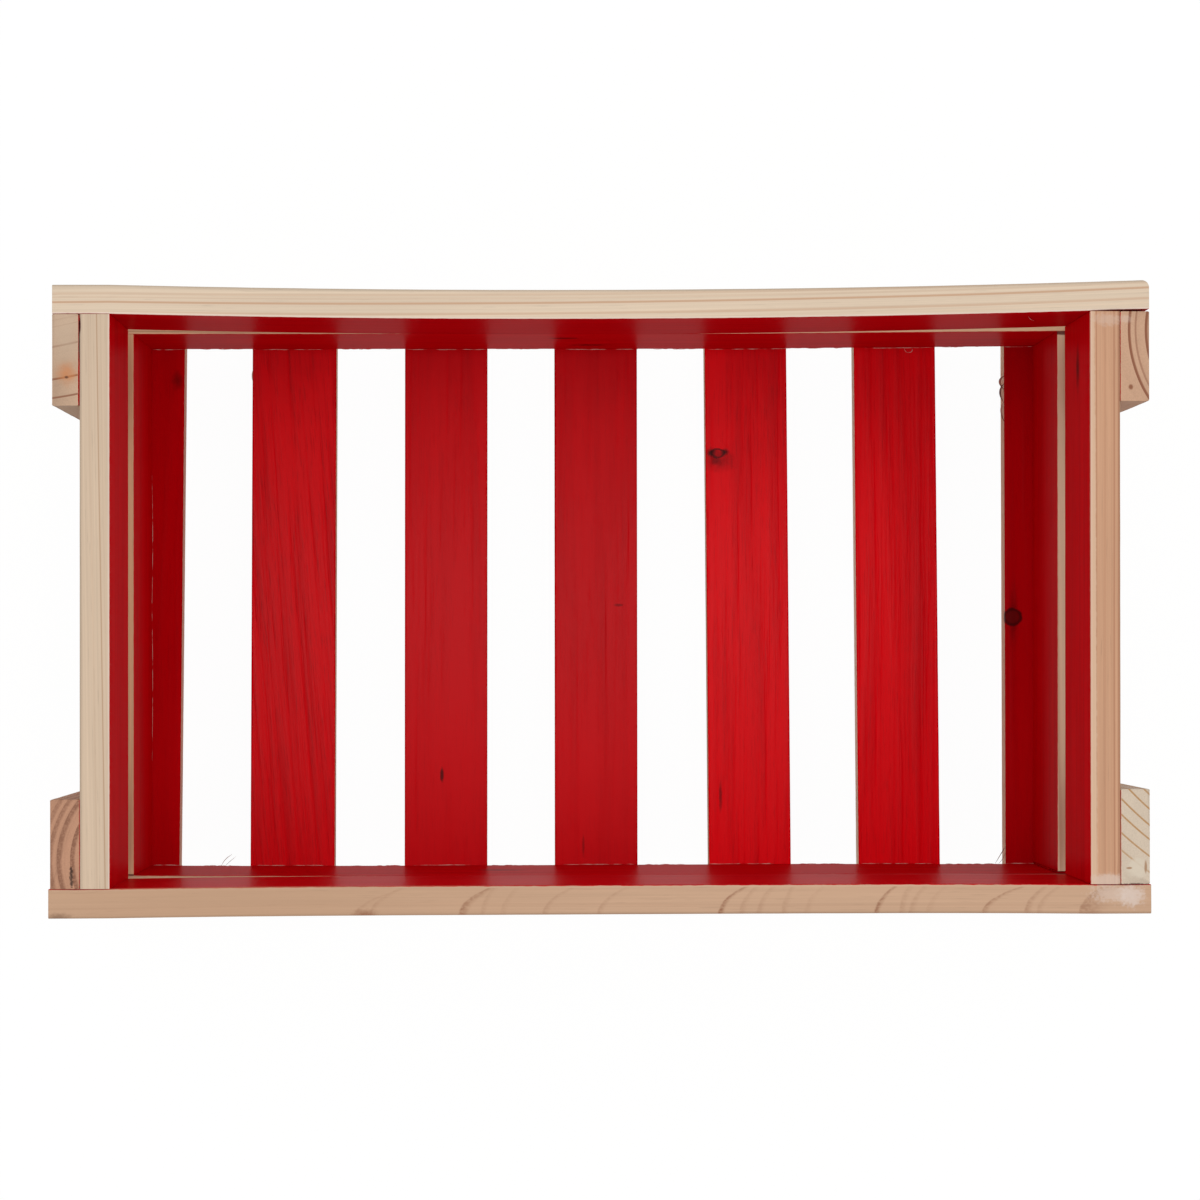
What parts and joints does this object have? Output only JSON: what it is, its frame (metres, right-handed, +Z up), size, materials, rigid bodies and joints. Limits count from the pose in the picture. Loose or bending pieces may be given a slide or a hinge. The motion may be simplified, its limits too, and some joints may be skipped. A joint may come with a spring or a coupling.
{
  "type": "bottle crate",
  "caption": "Open-topped rectangular pine crate with slatted sides and a slatted floor, stained red inside, for carrying and storing bottles.",
  "frame": {"origin": "the middle of the footprint, on the surface that the floor slats stand on", "axes": "+X along the long sides, +Y to the back long side, whose upper board is bowed inwards, +Z up"},
  "size_m": [0.4515, 0.2615, 0.166],
  "materials": {
    "side_boards": "planed bare pine, with a satin red stain on the face towards the inside",
    "end_boards": "planed bare pine, with a satin red stain on the face towards the inside",
    "corner_posts": "planed bare pine with sawn end grain",
    "floor_slats": "planed pine with a satin red stain on top and bare edges",
    "staples": "bright galvanised wire"
  },
  "bodies": {
    "root": {"back_left_post": "corner_posts", "back_lower_board": "side_boards", "back_lower_left_staple_high": "staples", "back_lower_left_staple_low": "staples", "back_lower_right_staple_high": "staples", "back_lower_right_staple_low": "staples", "back_right_post": "corner_posts", "back_upper_board": "side_boards", "back_upper_left_staple_high": "staples", "back_upper_left_staple_low": "staples", "back_upper_right_staple_high": "staples", "back_upper_right_staple_low": "staples", "bottom_slat_1": "floor_slats", "bottom_slat_2": "floor_slats", "bottom_slat_3": "floor_slats", "bottom_slat_4": "floor_slats", "bottom_slat_5": "floor_slats", "bottom_slat_6": "floor_slats", "bottom_slat_7": "floor_slats", "front_left_post": "corner_posts", "front_lower_board": "side_boards", "front_lower_left_staple_high": "staples", "front_lower_left_staple_low": "staples", "front_lower_right_staple_high": "staples", "front_lower_right_staple_low": "staples", "front_right_post": "corner_posts", "front_upper_board": "side_boards", "front_upper_left_staple_high": "staples", "front_upper_left_staple_low": "staples", "front_upper_right_staple_high": "staples", "front_upper_right_staple_low": "staples", "left_lower_end_back_staple": "staples", "left_lower_end_board": "end_boards", "left_lower_end_front_staple": "staples", "left_upper_end_back_staple": "staples", "left_upper_end_board": "end_boards", "left_upper_end_front_staple": "staples", "right_lower_end_back_staple": "staples", "right_lower_end_board": "end_boards", "right_lower_end_front_staple": "staples", "right_upper_end_back_staple": "staples", "right_upper_end_board": "end_boards", "right_upper_end_front_staple": "staples", "slat_1_back_staple": "staples", "slat_1_front_staple": "staples", "slat_2_back_staple": "staples", "slat_2_front_staple": "staples", "slat_3_back_staple": "staples", "slat_3_front_staple": "staples", "slat_4_back_staple": "staples", "slat_4_front_staple": "staples", "slat_5_back_staple": "staples", "slat_5_front_staple": "staples", "slat_6_back_staple": "staples", "slat_6_front_staple": "staples", "slat_7_back_staple": "staples", "slat_7_front_staple": "staples"}
  },
  "joints": []
}
